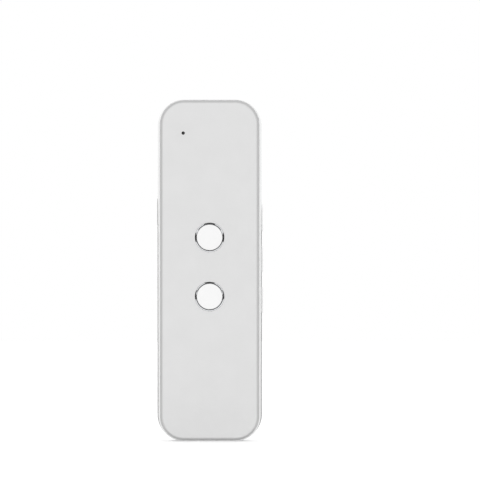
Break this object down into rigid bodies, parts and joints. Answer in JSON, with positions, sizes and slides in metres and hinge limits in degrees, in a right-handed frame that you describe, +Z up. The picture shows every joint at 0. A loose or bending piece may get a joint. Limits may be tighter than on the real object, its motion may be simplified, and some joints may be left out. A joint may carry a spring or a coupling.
{
  "type": "handheld translator",
  "caption": "Slim bar-shaped handheld voice translator with domed press buttons in chrome rings, side keys, a microphone port and a rear speaker grille.",
  "frame": {"origin": "centre of the flat bottom end that the body stands on, at the middle of its width and thickness", "axes": "+Z up the body from the bottom end to the microphone end; -Y out of the front face with the two buttons; +X to the right as seen from the front, toward the side with three keys"},
  "size_m": [0.0434, 0.0125, 0.14],
  "materials": {
    "cover_plastic": "fine satin moulding, pale grey",
    "frame_plastic": "smooth gloss white",
    "button_plastic": "smooth gloss white",
    "chrome_ring": "polished chrome",
    "solder_mask": "green solder mask",
    "steel": "tinned or nickelled sheet",
    "chip_black": "moulded epoxy",
    "pouch_foil": "laminated foil",
    "foam_tape": "foam tape",
    "dark_rubber": "soft rubber",
    "dark_mesh": "woven mesh",
    "speaker_paper": "moulded film cone",
    "ceramic": "ceramic",
    "copper": "enamelled copper",
    "gold_contact": "gold plated contacts",
    "lead_sheath": "silicone sheathed wire"
  },
  "bodies": {
    "housing": {"front_cover": "cover_plastic", "middle_frame": "frame_plastic", "rear_cover": "cover_plastic", "upper_button_ring": "chrome_ring", "lower_button_ring": "chrome_ring", "main_board": "solder_mask", "board_screws": "steel", "upper_switch_base": "steel", "lower_switch_base": "steel", "upper_side_switch": "steel", "middle_side_switch": "steel", "lower_side_switch": "steel", "left_side_switch": "steel", "battery_cell": "pouch_foil", "battery_tape": "foam_tape", "battery_protection_board": "solder_mask", "battery_leads": "lead_sheath", "battery_connector": "ceramic", "speaker_mesh": "dark_mesh", "speaker_gasket": "dark_rubber", "speaker_basket": "steel", "speaker_cone": "speaker_paper", "speaker_magnet": "steel", "speaker_leads": "lead_sheath", "microphone": "steel", "mic_boot": "dark_rubber", "mic_mesh": "dark_mesh", "usb_shell": "steel", "usb_tongue": "chip_black", "usb_contacts": "gold_contact", "shield_can": "steel", "main_processor": "chip_black", "flash_memory": "chip_black", "audio_amplifier": "chip_black", "charge_controller": "chip_black", "bluetooth_antenna": "ceramic", "clock_crystal": "steel", "power_inductor": "copper", "board_capacitors": "ceramic"},
    "upper_button": {"upper_button_cap": "button_plastic", "upper_switch_plunger": "chip_black"},
    "lower_button": {"lower_button_cap": "button_plastic", "lower_switch_plunger": "chip_black"},
    "upper_key": {"upper_side_key": "button_plastic", "upper_side_plunger": "chip_black"},
    "middle_key": {"middle_side_key": "button_plastic", "middle_side_plunger": "chip_black"},
    "lower_key": {"lower_side_key": "button_plastic", "lower_side_plunger": "chip_black"},
    "left_key": {"left_side_key": "cover_plastic", "left_side_plunger": "chip_black"}
  },
  "joints": [
    {"name": "upper_button_press", "type": "slide", "parent": "housing", "child": "upper_button", "axis": [0, 1, 0], "range_m": [0, 0.0003], "stiffness_N_per_m": 3000, "springref_m": -0.0001},
    {"name": "lower_button_press", "type": "slide", "parent": "housing", "child": "lower_button", "axis": [0, 1, 0], "range_m": [0, 0.0003], "stiffness_N_per_m": 3000, "springref_m": -0.0001},
    {"name": "upper_key_press", "type": "slide", "parent": "housing", "child": "upper_key", "axis": [-1, 0, 0], "range_m": [0, 0.0003], "stiffness_N_per_m": 3000, "springref_m": -0.0001},
    {"name": "middle_key_press", "type": "slide", "parent": "housing", "child": "middle_key", "axis": [-1, 0, 0], "range_m": [0, 0.0003], "stiffness_N_per_m": 3000, "springref_m": -0.0001},
    {"name": "lower_key_press", "type": "slide", "parent": "housing", "child": "lower_key", "axis": [-1, 0, 0], "range_m": [0, 0.0003], "stiffness_N_per_m": 3000, "springref_m": -0.0001},
    {"name": "left_key_press", "type": "slide", "parent": "housing", "child": "left_key", "axis": [1, 0, 0], "range_m": [0, 0.0003], "stiffness_N_per_m": 3000, "springref_m": -0.0001}
  ]
}
